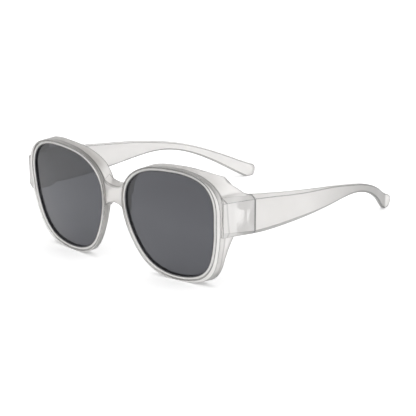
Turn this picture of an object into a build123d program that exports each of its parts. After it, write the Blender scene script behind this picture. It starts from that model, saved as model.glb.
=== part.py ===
from build123d import *

import os
from math import cos, radians, sin

# Fitover sunglasses: one moulded front, two tinted lenses and two folding temples.
# Millimetres. +X is the wearer's left, +Y runs back along the temples, +Z is up.
# They stand on both rims and both temple tips, as on a table with the temples open.

# Lens and rim outline
lens_width = 53.9
lens_height = 56.1
lens_middle_x = 35.0
face_forward = 0.5
wrap_angle = 5.65
lean_angle = 6.2
face_radius = 227.0
rim_width = 2.45
bead_width = 1.35
bead_drop = 0.4
groove_width = 0.4
groove_depth = 0.9

# Points of the lens outline, as shares of half its width and half its height, from the
# temple side anticlockwise
outline_shares = (
    (0.985, 0.04),
    (1.00, 0.30),
    (0.98, 0.57),
    (0.84, 0.82),
    (0.58, 0.955),
    (0.03, 1.00),
    (-0.50, 0.92),
    (-0.75, 0.79),
    (-0.935, 0.575),
    (-1.00, 0.31),
    (-0.98, 0.04),
    (-0.815, -0.43),
    (-0.50, -0.84),
    (0.03, -1.00),
    (0.32, -0.98),
    (0.60, -0.888),
    (0.80, -0.69),
    (0.905, -0.44),
)
# How much of the side flare each of those points takes, in the same order
flare_shares = (1.0, 1.0, 0.95, 0.35, 0, 0, 0, 0, 0, 0, 0, 0, 0, 0, 0.4, 1.0, 0.86, 0.68)

# Lens
lens_thickness = 1.8
lens_recess = 1.4
lens_grip = 0.8
lens_clearance = 0.05
lens_lip_width = 0.4
lens_lip_drop = 0.6

# Walls behind the rims: visor on top, shields at the sides
wall_thickness = 1.8
rim_back = 1.0
shield_reach = 22.0
side_flare = 6.5
visor_nose_depth = 6.3
visor_corner_x = 58.6
visor_corner_depth = 15.3
wall_split_z = 40.0
lower_nose_depth = 2.6
lower_corner_x = 56.0
lower_corner_depth = 13.0
shield_top_depth = 12.6
shield_waist_depth = 10.5
shield_foot_depth = 12.1

# Rear edge of the walls in plan: shares of the way out to the corner, and of the way from
# the depth over the nose to the depth at the corner
visor_plan_shares = ((0.21, 0), (0.42, -0.12), (0.62, -0.06), (0.75, 0.1), (0.86, 0.31), (0.94, 0.6), (1.0, 1.0))
lower_plan_shares = ((0.13, 0), (0.27, 0.2), (0.45, 0.54), (0.71, 0.82), (1.0, 1.0))

# Bridge
bridge_top = 43.2
bridge_bottom = 35.3
bridge_top_rise = 3.4
bridge_bottom_drop = 3.9
bridge_top_half = 9.0
bridge_bottom_half = 7.2
bridge_front = 1.1
bridge_back = 4.5
bridge_back_rise = 1.5

# Endpiece block that carries the hinge: plan
block_front_x = 67.1
block_front_y = 4.3
block_inner_x = 62.6
hinge_x = 72.0
joint_y = 22.9
joint_gap = 0.3
bevel_width = 2.7
lower_bevel_width = 1.3
notch_depth = 1.0
notch_radius = 2.0

# The same block: heights at its front and at the joint
front_top = 48.9
front_face_top = 46.4
front_face_bottom = 31.4
front_bottom = 28.6
joint_top = 47.5
joint_face_top = 45.5
joint_face_bottom = 29.1
joint_bottom = 27.5

# Hinge
axis_x = 67.5
axis_y = 19.5
knuckle_radius = 2.3
knuckle_height = 3.6
lower_cover = 1.9
upper_cover = 3.0
knuckle_clearance = 0.25
turn_clearance = 0.3
screw_radius = 0.75
screw_head_radius = 1.35
screw_head_height = 0.9
screw_sink = 0.25
screw_grip = 1.8
screw_fit = 0.05
slot_width = 0.35
slot_depth = 0.4
bush_radius = 1.5
knurl_radius = 0.15
knurl_count = 16

# Temple
tip_y = 170.0
tip_middle_y = 171.8
tip_radius = 3.9
tip_slope = 28.0
temple_root_thickness = 4.6
temple_thickness = 2.7
temple_edge = 0.7
root_length = 55.0

# Stations along the temple: share of the way from the joint to the tip, then its outer face as
# a share of the hinge's, its upper and lower edge as shares of the joint's top, and its upper
# and lower bevel as shares of those at the joint
temple_shares = (
    (0, 1.0, 1.0, 0.579, 1.0, 1.0),
    (0.061, 1.002, 0.963, 0.554, 0.85, 1.3),
    (0.17, 1.003, 0.901, 0.535, 0.75, 1.35),
    (0.306, 1.001, 0.829, 0.531, 0.6, 1.1),
    (0.442, 0.99, 0.76, 0.549, 0.25, 0.4),
    (0.578, 0.967, 0.676, 0.556, 0.2, 0.3),
    (0.68, 0.934, 0.6, 0.502, 0.2, 0.3),
    (0.782, 0.885, 0.493, 0.383, 0.2, 0.3),
    (0.864, 0.828, 0.385, 0.246, 0.2, 0.3),
    (0.945, 0.756, 0.262, 0.085, 0.2, 0.3),
    (1.04, 0.708, 0.135, -0.065, 0.2, 0.3),
)

# How deep the flats are on which the rims and the tips rest
rest_cut = 0.3
# Spare length for cutting tools, and a length beyond the whole part
overrun = 1.0
far = 200.0

lens_middle_z = (lens_height / 2 + rim_width) * cos(radians(lean_angle)) - rest_cut
side_dir = Vector(cos(radians(wrap_angle)), sin(radians(wrap_angle)), 0)
rise_dir = Vector(0, -sin(radians(lean_angle)), cos(radians(lean_angle)))
face_dir = side_dir.cross(rise_dir).normalized()
lens_plane = Plane(origin=(lens_middle_x, -face_forward, lens_middle_z), x_dir=side_dir, z_dir=face_dir)
ball_centre = lens_plane.origin - face_dir * face_radius
lens_back = lens_recess + lens_thickness
joint_face = joint_y - joint_gap / 2
temple_root = joint_y + joint_gap / 2
heel_radius = joint_face - axis_y
facet_dir = Vector(hinge_x - block_front_x, joint_face - block_front_y).normalized()
standing = (Align.CENTER, Align.CENTER, Align.MIN)


def point_list(grow):
    """The outline's points in the lens plane, moved outwards by grow."""
    base = Spline(*[(u * lens_width / 2, v * lens_height / 2) for u, v in outline_shares], periodic=True)
    points = []
    for u, v in outline_shares:
        point = Vector(u * lens_width / 2, v * lens_height / 2)
        along = base.tangent_at(base.param_at_point(point))
        points.append(point + Vector(along.Y, -along.X) * grow)
    return points


def prism(grow):
    """The outline, grown, as a column square to the lens plane."""
    flat = make_face(Spline(*point_list(grow), periodic=True))
    return extrude(lens_plane * flat, amount=shield_reach, both=True)


def ball(depth):
    """The ball whose surface lies depth behind the curved face."""
    return Pos(*ball_centre) * Sphere(face_radius - depth)


def ahead(depth):
    """The space in front of the surface that lies depth behind the curved face."""
    return extrude(lens_plane * Rectangle(far, far), amount=shield_reach, both=True) - ball(depth)


def between(column, front, back):
    """The part of a column that lies between two depths behind the curved face."""
    return column - ahead(front) - ball(back)


def tunnel(grow):
    """The outline, grown, run straight back with the side flare."""
    front = [lens_plane.from_local_coords(p) + face_dir * overrun for p in point_list(grow)]
    rear = [Vector(p.X + side_flare * share, shield_reach, p.Z) for p, share in zip(front, flare_shares)]
    faces = [make_face(Spline(*points, periodic=True)) for points in (front, rear)]
    return loft(faces, ruled=True)


def plan_limit(nose_depth, corner_x, corner_depth, shares, low, high):
    """What the walls keep between two heights: shallow at the nose, deep at the corner."""
    rise = corner_depth - nose_depth
    curve = [(x * corner_x, nose_depth + y * rise) for x, y in shares]
    edge = Spline(*curve)
    start = (0, nose_depth)
    rest = Polyline(curve[-1], (curve[-1][0], far), (far, far), (far, -far), (0, -far), start, curve[0])
    return Pos(0, 0, low) * extrude(make_face(Wire([edge, *rest.edges()])), amount=high - low)


def side_limit():
    """Side view of what the walls keep: down the visor's edge, the joint and the shield."""
    top = (shield_top_depth, joint_face_bottom)
    foot = (shield_foot_depth, 0)
    hollow = ThreePointArc(top, (shield_waist_depth, joint_face_bottom / 2), foot)
    rest = Polyline(
        foot,
        (shield_foot_depth, -far),
        (-far, -far),
        (-far, far),
        (visor_corner_depth, far),
        (visor_corner_depth, joint_top + bevel_width * 2),
        (joint_face - bevel_width, joint_top + rest_cut),
        (joint_face, joint_top + rest_cut),
        (joint_face, joint_face_bottom),
        top,
    )
    side = make_face(Wire([hollow, *rest.edges()]))
    return extrude(Plane.YZ * side, amount=far)


def walls():
    """One rim's outer body with its visor and shield, on the wearer's left, not yet hollowed."""
    body = tunnel(rim_width) - ahead(0)
    body -= tunnel(rim_width - wall_thickness) - ahead(lens_back + rim_back)
    upper = plan_limit(visor_nose_depth, visor_corner_x, visor_corner_depth, visor_plan_shares,
                       wall_split_z, far)
    lower = plan_limit(lower_nose_depth, lower_corner_x, lower_corner_depth, lower_plan_shares,
                       -far, wall_split_z)
    body = (body & upper) + (body & lower)
    return body & side_limit()


def block_value(y, front, joint):
    """A size of the endpiece between its front and the joint, at a distance behind the lenses."""
    return front + (joint - front) * (y - block_front_y) / (joint_face - block_front_y)


def block_section(y):
    """Cross-section of the endpiece with its bevels, at a distance behind the lenses."""
    outer = block_value(y, block_front_x, hinge_x)
    top = block_value(y, front_top, joint_top)
    face_top = block_value(y, front_face_top, joint_face_top)
    face_bottom = block_value(y, front_face_bottom, joint_face_bottom)
    bottom = block_value(y, front_bottom, joint_bottom)
    points = [
        (block_inner_x - heel_radius, top),
        (outer - bevel_width, top),
        (outer, face_top),
        (outer, face_bottom),
        (outer - lower_bevel_width, bottom),
        (block_inner_x - heel_radius, bottom),
    ]
    return Pos(0, y, 0) * make_face(Polyline(*[(x, 0, z) for x, z in points], close=True))


def block_plan():
    """Plan of the endpiece: flat joint face and a round heel about the hinge."""
    edges = [
        Line((block_inner_x, block_front_y), (far, block_front_y)),
        Line((far, block_front_y), (far, joint_face)),
        Line((far, joint_face), (axis_x, joint_face)),
        CenterArc((axis_x, axis_y), heel_radius, 90, 90),
        Line((axis_x - heel_radius, axis_y), (block_inner_x, axis_y - heel_radius)),
        Line((block_inner_x, axis_y - heel_radius), (block_inner_x, block_front_y)),
    ]
    return make_face(Wire(edges))


def block():
    """The endpiece with its bevels and the hollow beside the rim, before the hinge pockets."""
    body = loft([block_section(block_front_y), block_section(joint_face)], ruled=True)
    body &= extrude(block_plan(), amount=far)
    hollow = Pos(block_front_x - notch_radius, block_front_y - notch_radius + notch_depth, 0)
    return body - hollow * Cylinder(notch_radius, far)


def turn_plan(radius):
    """Plan of the room a knuckle of this radius sweeps, from straight back to folded inwards."""
    axis = Vector(axis_x, axis_y)
    side = Vector(facet_dir.Y, -facet_dir.X) * radius
    along = facet_dir * shield_reach
    swing = Polyline(
        axis + side,
        axis + side + along,
        Vector(0, axis_y) + along,
        Vector(0, axis_y - radius),
        axis - Vector(0, radius),
        close=True,
    )
    return make_face(swing) + Pos(axis_x, axis_y) * Circle(radius)


low_face = block_value(axis_y, front_bottom, joint_bottom)
high_face = block_value(axis_y, front_top, joint_top)
# Lowest point of each of the temple's two knuckles
knuckles = {"lower": low_face + lower_cover, "upper": high_face - upper_cover - knuckle_height}
grip_start = high_face - upper_cover


def screw():
    """The slotted countersunk screw: up through both knuckles and into the top of the block."""
    head = low_face + screw_sink
    body = Cone(screw_head_radius, screw_radius, screw_head_height, align=standing)
    body += Cylinder(screw_radius, grip_start + screw_grip - head, align=standing)
    body -= Box(screw_head_radius * 2, slot_width, slot_depth * 2)
    return Pos(axis_x, axis_y, head) * body


def screw_hole():
    """The hole for that screw: countersunk and free, but tight in the top of the block."""
    head = low_face + screw_sink
    wide = screw_head_radius + screw_fit
    body = Cone(wide, screw_radius + screw_fit, screw_head_height, align=standing)
    body += Pos(0, 0, -overrun) * Cylinder(wide, overrun, align=standing)
    body += Cylinder(screw_radius + screw_fit, grip_start - head, align=standing)
    body += Cylinder(screw_radius, grip_start + screw_grip + screw_fit - head, align=standing)
    return Pos(axis_x, axis_y, head) * body


def bush(low):
    """The knurled bush pressed into a knuckle, which turns on the screw."""
    body = Cylinder(bush_radius, knuckle_height, align=standing)
    body -= Cylinder(screw_radius + screw_fit, knuckle_height, align=standing)
    for place in PolarLocations(bush_radius, knurl_count):
        body -= place * Cylinder(knurl_radius, knuckle_height, align=standing)
    return Pos(axis_x, axis_y, low) * body


def knuckle(low):
    """One knuckle of the temple, with the arm that runs into the temple's root."""
    axis = Vector(axis_x, axis_y)
    side = Vector(facet_dir.Y, -facet_dir.X) * knuckle_radius
    along = facet_dir * (heel_radius * 2)
    arm = make_face(Polyline(axis + side, axis + side + along, axis - side + along, axis - side, close=True))
    body = extrude(arm + Pos(axis_x, axis_y) * Circle(knuckle_radius), amount=knuckle_height)
    body -= Pos(axis_x, axis_y) * Cylinder(bush_radius, knuckle_height, align=standing)
    return Pos(0, 0, low) * body


def bridge_section(depth, rise):
    """Front view of the saddle at one depth, with its top raised."""
    top = ThreePointArc(
        (bridge_top_half, bridge_top + bridge_top_rise + rise),
        (0, bridge_top + rise),
        (-bridge_top_half, bridge_top + bridge_top_rise + rise),
    )
    bottom = ThreePointArc(
        (-bridge_bottom_half, bridge_bottom - bridge_bottom_drop),
        (0, bridge_bottom),
        (bridge_bottom_half, bridge_bottom - bridge_bottom_drop),
    )
    sides = [Line(top @ 1, bottom @ 0), Line(bottom @ 1, top @ 0)]
    return Plane.XZ.offset(-depth) * make_face(Wire([top, sides[0], bottom, sides[1]]))


def bridge_half():
    """The wearer's left half of the saddle between the rims."""
    front = bridge_section(-bridge_front, 0)
    back = bridge_section(bridge_back, bridge_back_rise)
    return loft([front, back], ruled=True) & Box(far, far, far, align=(Align.MIN, Align.CENTER, Align.CENTER))


def front_half():
    """The wearer's left half of the front: walls and endpiece, with every seat cut in them."""
    body = walls() + block()
    body -= prism(bead_width) - ball(bead_drop)
    body -= (prism(bead_width + groove_width) - ball(groove_depth)) - prism(bead_width)
    body += bridge_half()
    body -= prism(0)
    body -= between(prism(lens_grip + lens_clearance), lens_recess - lens_clearance,
                    lens_back + lens_clearance)
    for low in knuckles.values():
        room = extrude(turn_plan(knuckle_radius + turn_clearance), amount=knuckle_height + knuckle_clearance * 2)
        body -= Pos(0, 0, low - knuckle_clearance) * room
    return body - screw_hole()


def lens():
    """The tinted lens: a curved plate with a turned-up edge inside the rim."""
    plate = between(prism(lens_grip), lens_recess, lens_back)
    inner = prism(-lens_clearance - lens_lip_width)
    lip = between(prism(-lens_clearance), lens_lip_drop, lens_recess + lens_thickness / 2) - inner
    return plate + lip


def temple_section(station):
    """A cross-section of the temple with its four bevels."""
    along, out, high, low, upper, lower = station
    y = temple_root + (tip_y - temple_root) * along
    top, bottom = high * joint_top, low * joint_top
    thin = min(1, (y - temple_root) / root_length)
    outer = out * hinge_x
    inner = outer - temple_root_thickness + (temple_root_thickness - temple_thickness) * thin
    points = [
        (inner + temple_edge, top),
        (outer - bevel_width * upper, top),
        (outer, top - (joint_top - joint_face_top) * upper),
        (outer, bottom + (joint_face_bottom - joint_bottom) * lower),
        (outer - lower_bevel_width * lower, bottom),
        (inner + temple_edge, bottom),
        (inner, bottom + temple_edge),
        (inner, top - temple_edge),
    ]
    return Pos(0, y, 0) * make_face(Polyline(*[(x, 0, z) for x, z in points], close=True))


def temple():
    """The temple: a bowed bar with a rounded tip, and its two knuckles."""
    body = loft([temple_section(station) for station in temple_shares])
    keep = Rot(0, 0, -tip_slope) * Pos(-far / 2, 0) * Rectangle(far, far) + Circle(tip_radius)
    keep = Plane.YZ * (Pos(tip_middle_y, tip_radius - rest_cut) * keep)
    body &= extrude(keep, amount=far)
    body = cut_below(body)
    for low in knuckles.values():
        body += knuckle(low)
    return body


def cut_below(body):
    """A body without what would lie under the table it stands on."""
    return body - Box(far * 2, far * 3, far, align=(Align.CENTER, Align.CENTER, Align.MAX))


half = front_half()
pieces = {"front_frame": cut_below(half + mirror(half, Plane.YZ))}
left = {"lens": lens(), "temple": temple(), "hinge_screw": screw()}
for name, low in knuckles.items():
    left["hinge_bush_" + name] = bush(low)
for name, body in left.items():
    pieces[name + "_left"] = body
    pieces[name + "_right"] = mirror(body, Plane.YZ)

boxes = [body.bounding_box() for body in pieces.values()]
front_end = min(box.min.Y for box in boxes)
back_end = max(box.max.Y for box in boxes)
os.makedirs("parts", exist_ok=True)
for name, body in pieces.items():
    export_step(Pos(0, -(front_end + back_end) / 2, 0) * body, "parts/" + name + ".step")
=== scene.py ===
from math import cos, radians, sin

import bpy
from mathutils import Matrix, Vector

# Fitover sunglasses: looks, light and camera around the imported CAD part. Metres.

MM = 0.001

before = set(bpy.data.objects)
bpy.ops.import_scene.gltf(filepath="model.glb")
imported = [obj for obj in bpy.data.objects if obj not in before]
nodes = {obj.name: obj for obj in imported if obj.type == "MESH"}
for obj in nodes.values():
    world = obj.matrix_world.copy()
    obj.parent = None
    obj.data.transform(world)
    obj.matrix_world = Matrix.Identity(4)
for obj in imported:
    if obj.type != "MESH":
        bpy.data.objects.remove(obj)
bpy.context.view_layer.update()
scene = bpy.context.scene


# Node helpers

RISING = (0, 1)
FALLING = (1, 0)
NOISE_SPAN = (0.3, 0.7)


def new_material(name):
    """An empty node material with its output."""
    material = bpy.data.materials.new(name)
    material.use_nodes = True
    tree = material.node_tree
    tree.nodes.clear()
    output = tree.nodes.new("ShaderNodeOutputMaterial")
    return material, tree, output


def add(tree, kind, **values):
    """A node with its properties and input values set by name."""
    node = tree.nodes.new(kind)
    for key, value in values.items():
        name = key.replace("_", " ")
        if hasattr(node, key):
            setattr(node, key, value)
        else:
            node.inputs[name].default_value = value
    return node


def maths(tree, operation, first, second=0):
    """One operation on numbers or linked values."""
    node = add(tree, "ShaderNodeMath", operation=operation)
    for socket, value in zip(node.inputs, (first, second)):
        if isinstance(value, (int, float)):
            socket.default_value = value
        else:
            tree.links.new(value, socket)
    return node.outputs["Value"]


def product(tree, first, *others):
    """Numbers or linked values multiplied together."""
    for other in others:
        first = maths(tree, "MULTIPLY", first, other)
    return first


def absolute(tree, value):
    """A value without its sign."""
    return maths(tree, "ABSOLUTE", value)


def ramp(tree, value, span, ends=RISING):
    """A value mapped from a span to two end values, and held at them outside it."""
    node = tree.nodes.new("ShaderNodeMapRange")
    for name, number in zip(("From Min", "From Max", "To Min", "To Max"), (*span, *ends)):
        node.inputs[name].default_value = number
    tree.links.new(value, node.inputs["Value"])
    return node.outputs["Result"]


def mixed(tree, value, low, high):
    """A colour mixed between two plain or linked colours by a value from 0 to 1."""
    node = tree.nodes.new("ShaderNodeMix")
    node.data_type = "RGBA"
    tree.links.new(value, node.inputs["Factor"])
    for socket, colour in ((node.inputs[6], low), (node.inputs[7], high)):
        if isinstance(colour, tuple):
            socket.default_value = (*colour, 1)
        else:
            tree.links.new(colour, socket)
    return node.outputs[2]


def noise(tree, scale, detail=2.0, roughness=0.5, stretch=(1, 1, 1)):
    """Noise in the object's own coordinates, in cycles per metre."""
    coord = tree.nodes.new("ShaderNodeTexCoord")
    mapping = add(tree, "ShaderNodeMapping", Scale=stretch)
    texture = add(tree, "ShaderNodeTexNoise", Scale=scale, Detail=detail, Roughness=roughness)
    tree.links.new(coord.outputs["Object"], mapping.inputs["Vector"])
    tree.links.new(mapping.outputs["Vector"], texture.inputs["Vector"])
    return texture.outputs["Fac"]


def bump(tree, height, strength, distance):
    """A bump from a height."""
    node = add(tree, "ShaderNodeBump", Strength=strength, Distance=distance)
    tree.links.new(height, node.inputs["Height"])
    return node.outputs["Normal"]


def parts_of(tree, name):
    """X, Y and Z of a point in its object (Object) or of the way its surface faces (Normal)."""
    coord = tree.nodes.new("ShaderNodeTexCoord")
    apart = tree.nodes.new("ShaderNodeSeparateXYZ")
    tree.links.new(coord.outputs[name], apart.inputs["Vector"])
    return apart.outputs


def edge_shade_mask(tree, width, full):
    """One along sharp edges and creases, within a width, and zero elsewhere: where shade is painted
    in dark lines.
    """
    least_turn = 0.03
    soft = tree.nodes.new("ShaderNodeBevel")
    soft.samples = 8
    soft.inputs["Radius"].default_value = width
    plain = tree.nodes.new("ShaderNodeNewGeometry")
    turn = add(tree, "ShaderNodeVectorMath", operation="DISTANCE")
    tree.links.new(soft.outputs["Normal"], turn.inputs[0])
    tree.links.new(plain.outputs["Normal"], turn.inputs[1])
    return ramp(tree, turn.outputs["Value"], (least_turn, full))


# Places on the front and the temples, in the pack's frame at rest

FACE_CENTRE = (12.782 * MM, 137.694 * MM, 54.42 * MM)
FACE_RADIUS = 227 * MM
GROOVE_DEPTH = 2.4 * MM
JOINT_Y = -63.4955 * MM
BLOCK_SLOPE = 0.2656
TIP_CAP_Y = (82 * MM, 85 * MM)


def from_face_centre(tree):
    """How far a point is from the centre of the ball that its side's front face lies on."""
    place = parts_of(tree, "Object")
    point = tree.nodes.new("ShaderNodeCombineXYZ")
    tree.links.new(absolute(tree, place["X"]), point.inputs["X"])
    tree.links.new(place["Y"], point.inputs["Y"])
    tree.links.new(place["Z"], point.inputs["Z"])
    away = add(tree, "ShaderNodeVectorMath", operation="DISTANCE")
    tree.links.new(point.outputs["Vector"], away.inputs[0])
    away.inputs[1].default_value = FACE_CENTRE
    return away.outputs["Value"]


def near_face(tree, start, full):
    """Zero from a start depth behind the front face, and one from a full depth to the face."""
    return ramp(tree, from_face_centre(tree), (FACE_RADIUS - start, FACE_RADIUS - full))


def rim_face(tree):
    """One on the curved face of the rims, and less on the bridge and at the very top."""
    place = parts_of(tree, "Object")
    facing = parts_of(tree, "Normal")
    bridge_edge = (7 * MM, 11 * MM)
    rim_top = (50 * MM, 56 * MM)
    return product(
        tree,
        near_face(tree, 3 * MM, 2 * MM),
        ramp(tree, facing["Y"], (-0.6, -0.3), FALLING),
        ramp(tree, place["Z"], rim_top, (1, 0.5)),
        ramp(tree, absolute(tree, place["X"]), bridge_edge, (0.3, 1)),
    )


def hidden_faces(tree):
    """One on the faces inside the endpiece, around the knuckles, and on both faces of the joint."""
    place = parts_of(tree, "Object")
    facing = parts_of(tree, "Normal")
    outer_wall = (71.4 * MM, 71.6 * MM)
    front_wall = (-76 * MM, -75.5 * MM)
    past_joint = (0.1 * MM, 0.3 * MM)
    floor_wall = (29.2 * MM, 29.4 * MM)
    roof_wall = (45.0 * MM, 45.2 * MM)
    beside_joint = (0.25 * MM, 0.35 * MM)
    behind = maths(tree, "SUBTRACT", place["Y"], JOINT_Y)
    slant = product(tree, behind, BLOCK_SLOPE)
    sideways = maths(tree, "SUBTRACT", absolute(tree, place["X"]), slant)
    inside = product(
        tree,
        ramp(tree, sideways, outer_wall, FALLING),
        ramp(tree, place["Y"], front_wall),
        ramp(tree, behind, past_joint, FALLING),
        ramp(tree, place["Z"], floor_wall),
        ramp(tree, place["Z"], roof_wall, FALLING),
    )
    joint_faces = product(
        tree,
        ramp(tree, absolute(tree, facing["Y"]), (0.8, 0.9)),
        ramp(tree, absolute(tree, behind), beside_joint, FALLING),
    )
    return maths(tree, "MAXIMUM", inside, joint_faces)


def over_hinge(tree):
    """One at the height of the hinges on the outer faces, which show little of what is inside."""
    place = parts_of(tree, "Object")
    outer_side = (58 * MM, 62 * MM)
    below_hinge = (25 * MM, 27 * MM)
    above_hinge = (47 * MM, 50 * MM)
    return product(
        tree,
        ramp(tree, absolute(tree, place["X"]), outer_side),
        ramp(tree, place["Z"], below_hinge),
        ramp(tree, place["Z"], above_hinge, FALLING),
    )


# Materials

# Painted light: the paler tone for faces that the light falls on more.
LIT_SIDE_PALE = (1.0, 0.985, 0.97)
# Painted shade: the dark colours of the lines along edges, creases and the lens groove.
EDGE_SHADE_GREY = (0.22, 0.215, 0.21)
EDGE_SHADE_BLACK = (0.03, 0.029, 0.028)


def groove_shade_line(tree, body):
    """A colour with a thin line of painted shade on the outside, where the lens groove shows
    through.
    """
    facing = parts_of(tree, "Normal")
    half_width = (0.2 * MM, 0.6 * MM)
    strength = 0.75
    strength_on_sides = 0.45
    away = maths(tree, "SUBTRACT", from_face_centre(tree), FACE_RADIUS - GROOVE_DEPTH)
    line = product(
        tree,
        ramp(tree, absolute(tree, away), half_width, (strength, 0)),
        ramp(tree, facing["Y"], (-0.6, -0.4)),
        ramp(tree, facing["Z"], (0, 0.4), (strength_on_sides, 1)),
    )
    return mixed(tree, line, body, EDGE_SHADE_GREY)


def joint_line(tree, body):
    """A colour that darkens in a thin line beside the joint of front and temple."""
    place = parts_of(tree, "Object")
    facing = parts_of(tree, "Normal")
    line_width = (0.25 * MM, 0.6 * MM)
    away = maths(tree, "SUBTRACT", place["Y"], JOINT_Y)
    line = product(
        tree,
        ramp(tree, absolute(tree, away), line_width, FALLING),
        ramp(tree, absolute(tree, facing["Y"]), (0.5, 0.8), FALLING),
    )
    return mixed(tree, line, body, (0.02, 0.02, 0.019))


def front_tones(tree, body):
    """The front's colour: paler on its sides as painted light, greyer on the bridge, and greyer
    along the top as painted shade.
    """
    place = parts_of(tree, "Object")
    facing = parts_of(tree, "Normal")
    bridge_edge = (8 * MM, 10 * MM)
    upper_part = (44 * MM, 52 * MM)
    outer_part = (42 * MM, 54 * MM)
    sideways = absolute(tree, place["X"])
    # Painted shade: a grey band on the upward faces along the top, behind the front face.
    top_shade = product(
        tree,
        ramp(tree, facing["Z"], (0.3, 0.8)),
        ramp(tree, place["Z"], upper_part),
        near_face(tree, 11 * MM, 5 * MM),
        ramp(tree, sideways, outer_part, (1, 0.4)),
    )
    # Painted light: faces that point sideways are paler.
    front_side_light = ramp(tree, absolute(tree, facing["X"]), (0.4, 0.8))
    on_bridge = ramp(tree, sideways, bridge_edge, FALLING)
    body = mixed(tree, front_side_light, body, LIT_SIDE_PALE)
    body = mixed(tree, on_bridge, body, (0.84, 0.82, 0.80))
    body = mixed(tree, top_shade, body, (0.56, 0.542, 0.52))
    return groove_shade_line(tree, body)


def temple_tones(tree, body):
    """A temple's colour: paler inside and on the tip's cap as painted light, and greyer outside
    from the middle to the tip's cap as painted shade, with dark lines of painted shade along the
    outer edges.
    """
    place = parts_of(tree, "Object")
    facing = parts_of(tree, "Normal")
    middle_to_bend = (-20 * MM, 60 * MM)
    outwards = product(tree, place["X"], facing["X"])
    # Painted light: the tip's cap is paler and gets no painted shade.
    cap = ramp(tree, place["Y"], TIP_CAP_Y)
    # Painted shade: the outer face greyer from the middle to the cap.
    shade = product(
        tree,
        ramp(tree, outwards, (0.01, 0.03)),
        ramp(tree, place["Y"], middle_to_bend),
        maths(tree, "SUBTRACT", 1, cap),
    )
    # Painted light: the inner face is paler.
    temple_inner_light = ramp(tree, outwards, (-0.03, -0.01), FALLING)
    # Painted shade: dark lines along the edges of the greyer outer face.
    rims = product(tree, shade, edge_shade_mask(tree, 1.6 * MM, 0.6))
    body = mixed(tree, temple_inner_light, body, LIT_SIDE_PALE)
    body = mixed(tree, shade, body, (0.46, 0.45, 0.44))
    body = mixed(tree, cap, body, (0.98, 0.965, 0.95))
    return mixed(tree, rims, body, (0.10, 0.098, 0.095))


def frosted_plastic(name, clear, hidden_clear, grain, tones, edge_width, edge_full):
    """Clear plastic with a fine matte skin, with painted shade along its edges and underneath, and
    painted light on the faces hidden inside.
    """
    rim_matter = 0.44
    hinge_matter = 0.16
    underneath = (0.75, 0)
    material, tree, output = new_material(name)
    shader = tree.nodes.new("ShaderNodeBsdfPrincipled")
    shader.inputs["IOR"].default_value = 1.42
    shader.inputs["Specular IOR Level"].default_value = 0.4

    rim = rim_face(tree)
    hidden = hidden_faces(tree)
    facing = parts_of(tree, "Normal")
    cloud = ramp(tree, noise(tree, 60, 3), NOISE_SPAN)
    body = mixed(tree, cloud, (0.91, 0.893, 0.876), (0.96, 0.944, 0.93))
    body = tones(tree, body)
    # Painted shade: darker on faces that point down.
    underside_shade = ramp(tree, facing["Z"], (-0.65, -0.35), underneath)
    body = mixed(tree, underside_shade, body, (0.20, 0.197, 0.19))
    body = mixed(tree, rim, body, (0.965, 0.952, 0.935))
    # Painted shade: dark lines along edges and creases, black near the front face and grey
    # elsewhere.
    dark = mixed(tree, near_face(tree, 4 * MM, 3 * MM), EDGE_SHADE_BLACK, EDGE_SHADE_GREY)
    shown = maths(tree, "SUBTRACT", 1, hidden)
    lines = product(tree, edge_shade_mask(tree, edge_width, edge_full), shown)
    body = mixed(tree, lines, body, dark)
    # Painted light: the faces hidden inside the endpiece and at the joint are painted white to lift
    # the shade on them.
    body = mixed(tree, hidden, joint_line(tree, body), (1, 1, 1))
    tree.links.new(body, shader.inputs["Base Color"])

    through = ramp(tree, hidden, (0, 1), (clear, hidden_clear))
    matter = maths(
        tree,
        "MAXIMUM",
        product(tree, rim, rim_matter),
        product(tree, over_hinge(tree), hinge_matter),
    )
    through = maths(tree, "SUBTRACT", through, matter)
    tree.links.new(through, shader.inputs["Transmission Weight"])

    drawn = noise(tree, 500, 2, 0.5, grain)
    skin = noise(tree, 2600, 2, 0.6)
    tree.links.new(ramp(tree, drawn, NOISE_SPAN, (0.30, 0.38)), shader.inputs["Roughness"])
    tree.links.new(bump(tree, skin, 0.2, 0.02 * MM), shader.inputs["Normal"])
    absorb = tree.nodes.new("ShaderNodeVolumeAbsorption")
    absorb.inputs["Color"].default_value = (0.62, 0.61, 0.59, 1)
    absorb.inputs["Density"].default_value = 22
    tree.links.new(shader.outputs["BSDF"], output.inputs["Surface"])
    tree.links.new(absorb.outputs["Volume"], output.inputs["Volume"])
    return material


def tinted_lens(name):
    """Dark grey tinted lens with a hard, slightly worn gloss, a little darker at the top, with
    painted shade in a dark line along its edges.
    """
    upper_half = (30 * MM, 48 * MM)
    material, tree, output = new_material(name)
    shader = tree.nodes.new("ShaderNodeBsdfPrincipled")
    shader.inputs["IOR"].default_value = 1.5
    shader.inputs["Transmission Weight"].default_value = 1.0
    shader.inputs["Specular IOR Level"].default_value = 0.35
    cloud = ramp(tree, noise(tree, 25, 2), NOISE_SPAN)
    tinted = mixed(tree, cloud, (0.069, 0.071, 0.082), (0.079, 0.081, 0.092))
    upper = ramp(tree, parts_of(tree, "Object")["Z"], upper_half)
    tinted = mixed(tree, upper, tinted, (0.062, 0.0635, 0.073))
    # Painted shade: a dark line along the lens's edges.
    edge = edge_shade_mask(tree, 0.25 * MM, 0.4)
    tinted = mixed(tree, edge, tinted, (0.035, 0.035, 0.04))
    tree.links.new(tinted, shader.inputs["Base Color"])
    smear = ramp(tree, noise(tree, 90, 4), (0.35, 0.75), (0.04, 0.09))
    tree.links.new(smear, shader.inputs["Roughness"])
    tree.links.new(shader.outputs["BSDF"], output.inputs["Surface"])
    return material


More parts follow.
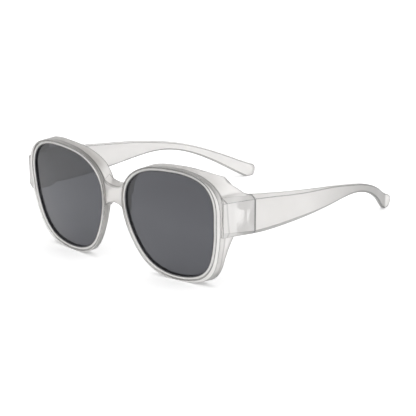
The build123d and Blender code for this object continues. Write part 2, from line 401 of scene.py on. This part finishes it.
def steel(name, dark, light):
    """Plain turned steel."""
    turned_along = (0.2, 0.2, 4)
    material, tree, output = new_material(name)
    shader = tree.nodes.new("ShaderNodeBsdfPrincipled")
    shader.inputs["Metallic"].default_value = 1.0
    turned = noise(tree, 4000, 2, 0.5, turned_along)
    tree.links.new(mixed(tree, turned, dark, light), shader.inputs["Base Color"])
    tree.links.new(ramp(tree, turned, NOISE_SPAN, (0.3, 0.5)), shader.inputs["Roughness"])
    tree.links.new(shader.outputs["BSDF"], output.inputs["Surface"])
    return material


materials = {
    "front": frosted_plastic(
        "frosted_front",
        clear=0.7,
        hidden_clear=0.74,
        grain=(1, 1, 1),
        tones=front_tones,
        edge_width=0.5 * MM,
        edge_full=0.45,
    ),
    "temple": frosted_plastic(
        "frosted_temple",
        clear=0.55,
        hidden_clear=0.9,
        grain=(6, 0.4, 6),
        tones=temple_tones,
        edge_width=0.7 * MM,
        edge_full=0.45,
    ),
    "lens": tinted_lens("grey_lens"),
    "hinge_screw": steel("screw_steel", dark=(0.78, 0.78, 0.78), light=(0.9, 0.9, 0.9)),
    "hinge_bush": steel("bush_steel", dark=(0.78, 0.77, 0.76), light=(0.9, 0.89, 0.88)),
}

for name, node in nodes.items():
    node.data.materials.clear()
    for start, material in materials.items():
        if name.startswith(start):
            node.data.materials.append(material)


# Floor and light

FLOOR_SIZE = 8
FLOOR_DROP = 0.02 * MM
FLOOR_GLOW = 0.30
WORLD_LIGHT = 0.95


def shown_rays(tree):
    """One for rays from the camera, off gloss or through clear pieces."""
    rays = tree.nodes.new("ShaderNodeLightPath")
    seen = rays.outputs["Is Camera Ray"]
    for kind in ("Is Glossy Ray", "Is Transmission Ray"):
        seen = maths(tree, "MAXIMUM", seen, rays.outputs[kind])
    return seen


def white_floor():
    """White floor that shows pure white to the camera and still takes the part's shadow."""
    bpy.ops.mesh.primitive_plane_add(size=FLOOR_SIZE, location=(0, 0, -FLOOR_DROP))
    floor = bpy.context.object
    floor.name = "floor"
    material, tree, output = new_material("floor_white")
    diffuse = add(tree, "ShaderNodeBsdfDiffuse", Color=(0.9, 0.9, 0.9, 1))
    glow = add(tree, "ShaderNodeEmission", Color=(1, 1, 1, 1), Strength=FLOOR_GLOW)
    dark = add(tree, "ShaderNodeEmission", Color=(0, 0, 0, 1), Strength=0)
    lift = tree.nodes.new("ShaderNodeMixShader")
    tree.links.new(shown_rays(tree), lift.inputs[0])
    tree.links.new(dark.outputs["Emission"], lift.inputs[1])
    tree.links.new(glow.outputs["Emission"], lift.inputs[2])
    both = tree.nodes.new("ShaderNodeAddShader")
    tree.links.new(diffuse.outputs["BSDF"], both.inputs[0])
    tree.links.new(lift.outputs["Shader"], both.inputs[1])
    tree.links.new(both.outputs["Shader"], output.inputs["Surface"])
    floor.data.materials.append(material)


def white_world():
    """Even studio light, white where the camera or a clear surface sees it."""
    world = bpy.data.worlds.new("studio")
    scene.world = world
    world.use_nodes = True
    tree = world.node_tree
    tree.nodes.clear()
    output = tree.nodes.new("ShaderNodeOutputWorld")
    light = add(tree, "ShaderNodeBackground", Color=(1, 1, 1, 1), Strength=WORLD_LIGHT)
    shown = add(tree, "ShaderNodeBackground", Color=(1, 1, 1, 1), Strength=1.0)
    mix = tree.nodes.new("ShaderNodeMixShader")
    tree.links.new(shown_rays(tree), mix.inputs[0])
    tree.links.new(light.outputs["Background"], mix.inputs[1])
    tree.links.new(shown.outputs["Background"], mix.inputs[2])
    tree.links.new(mix.outputs["Shader"], output.inputs["Surface"])


def area_light(name, place, target, size, power):
    """A square soft light that points at a place."""
    data = bpy.data.lights.new(name, "AREA")
    data.size = size
    data.energy = power
    light = bpy.data.objects.new(name, data)
    scene.collection.objects.link(light)
    light.location = place
    aim = Vector(target) - Vector(place)
    light.rotation_euler = aim.to_track_quat("-Z", "Y").to_euler()


white_floor()
white_world()
area_light("key", place=(0.12, -0.15, 1.0), target=(0, 0, 0.02), size=0.5, power=1.5)


# Camera at the photograph's place. It was fitted in the source's frame, and the pack's frame has
# its origin further along Y by the shift.

CAMERA_Y_SHIFT = 86.3955
CAMERA_PLACE = Vector((518.881, -547.769 - CAMERA_Y_SHIFT, 275.586)) * MM
CAMERA_AIM = Vector((16.879, 52.771 - CAMERA_Y_SHIFT, 22.143)) * MM
CAMERA_ROLL = -0.24
CAMERA_LENS = 134.65
CAMERA_SENSOR = 36.0
CAMERA_NEAR = 0.01
CAMERA_FAR = 50


def photo_camera():
    """The camera that took the photograph, fitted to both lenses and both temples."""
    data = bpy.data.cameras.new("camera")
    data.lens = CAMERA_LENS
    data.sensor_width = CAMERA_SENSOR
    data.clip_start = CAMERA_NEAR
    data.clip_end = CAMERA_FAR
    camera = bpy.data.objects.new("camera", data)
    scene.collection.objects.link(camera)
    back = (CAMERA_PLACE - CAMERA_AIM).normalized()
    right = Vector((0, 0, 1)).cross(back).normalized()
    up = back.cross(right)
    roll = radians(CAMERA_ROLL)
    side = right * cos(roll) + up * sin(roll)
    top = up * cos(roll) - right * sin(roll)
    camera.matrix_world = Matrix((
        (side.x, top.x, back.x, CAMERA_PLACE.x),
        (side.y, top.y, back.y, CAMERA_PLACE.y),
        (side.z, top.z, back.z, CAMERA_PLACE.z),
        (0, 0, 0, 1),
    ))
    scene.camera = camera


photo_camera()
scene.view_settings.view_transform = "Standard"


def plain(box):
    """A box as plain lists of numbers."""
    return [[float(x) for x in corner] for corner in box]
